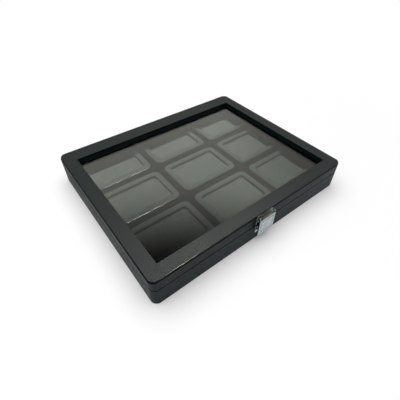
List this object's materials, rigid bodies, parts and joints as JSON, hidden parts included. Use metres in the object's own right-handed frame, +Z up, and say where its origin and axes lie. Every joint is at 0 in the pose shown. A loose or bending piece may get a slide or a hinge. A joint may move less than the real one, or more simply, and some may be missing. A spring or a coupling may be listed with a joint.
{
  "type": "compartment display case",
  "caption": "Flat black leatherette display case with a hinged glazed lid, a front flap latch and windowed gem boxes seated in a flocked divider.",
  "frame": {"origin": "middle of the underside, on the surface that the case stands on", "axes": "+X along the front to the right, +Y from the latch to the hinges, +Z up"},
  "size_m": [0.25, 0.2115, 0.0344],
  "materials": {
    "leatherette": "fine grain, satin",
    "flock": "matte flock",
    "box_plastic": "gloss",
    "pad_foam": "matte foam",
    "glass": "clear",
    "window_pane": "clear",
    "nickel": "bright nickel plate"
  },
  "bodies": {
    "base": {"base_wall_frame": "leatherette", "base_bottom_panel": "leatherette", "compartment_divider": "flock", "gem_box_tray_1": "box_plastic", "gem_box_tray_2": "box_plastic", "gem_box_tray_3": "box_plastic", "gem_box_tray_4": "box_plastic", "gem_box_tray_5": "box_plastic", "gem_box_tray_6": "box_plastic", "gem_box_tray_7": "box_plastic", "gem_box_tray_8": "box_plastic", "gem_box_tray_9": "box_plastic", "gem_box_pad_1": "pad_foam", "gem_box_pad_2": "pad_foam", "gem_box_pad_3": "pad_foam", "gem_box_pad_4": "pad_foam", "gem_box_pad_5": "pad_foam", "gem_box_pad_6": "pad_foam", "gem_box_pad_7": "pad_foam", "gem_box_pad_8": "pad_foam", "gem_box_pad_9": "pad_foam", "gem_box_lid_1": "box_plastic", "gem_box_lid_2": "box_plastic", "gem_box_lid_3": "box_plastic", "gem_box_lid_4": "box_plastic", "gem_box_lid_5": "box_plastic", "gem_box_lid_6": "box_plastic", "gem_box_lid_7": "box_plastic", "gem_box_lid_8": "box_plastic", "gem_box_lid_9": "box_plastic", "gem_box_window_1": "window_pane", "gem_box_window_2": "window_pane", "gem_box_window_3": "window_pane", "gem_box_window_4": "window_pane", "gem_box_window_5": "window_pane", "gem_box_window_6": "window_pane", "gem_box_window_7": "window_pane", "gem_box_window_8": "window_pane", "gem_box_window_9": "window_pane", "hinge_leaf_base_l": "nickel", "hinge_leaf_base_r": "nickel", "hinge_pin_l": "nickel", "hinge_pin_r": "nickel", "hinge_screws_base": "nickel", "latch_catch": "nickel", "latch_rivets_base": "nickel"},
    "lid": {"lid_wall_frame": "leatherette", "lid_top_frame": "leatherette", "lid_glass": "glass", "lid_glass_retainer": "leatherette", "hinge_leaf_lid_l": "nickel", "hinge_leaf_lid_r": "nickel", "hinge_screws_lid": "nickel", "latch_bracket": "nickel", "latch_pin": "nickel", "latch_rivets_lid": "nickel"},
    "flap": {"latch_flap": "nickel"}
  },
  "joints": [
    {"name": "lid_hinge", "type": "hinge", "parent": "base", "child": "lid", "pos_m": [0, 0.10305, 0.02105], "axis": [-1, 0, 0], "range_deg": [0, 180]},
    {"name": "latch_flap_hinge", "type": "hinge", "parent": "lid", "child": "flap", "pos_m": [0, -0.10375, 0.0321], "axis": [-1, 0, 0], "range_deg": [0, 110]}
  ]
}
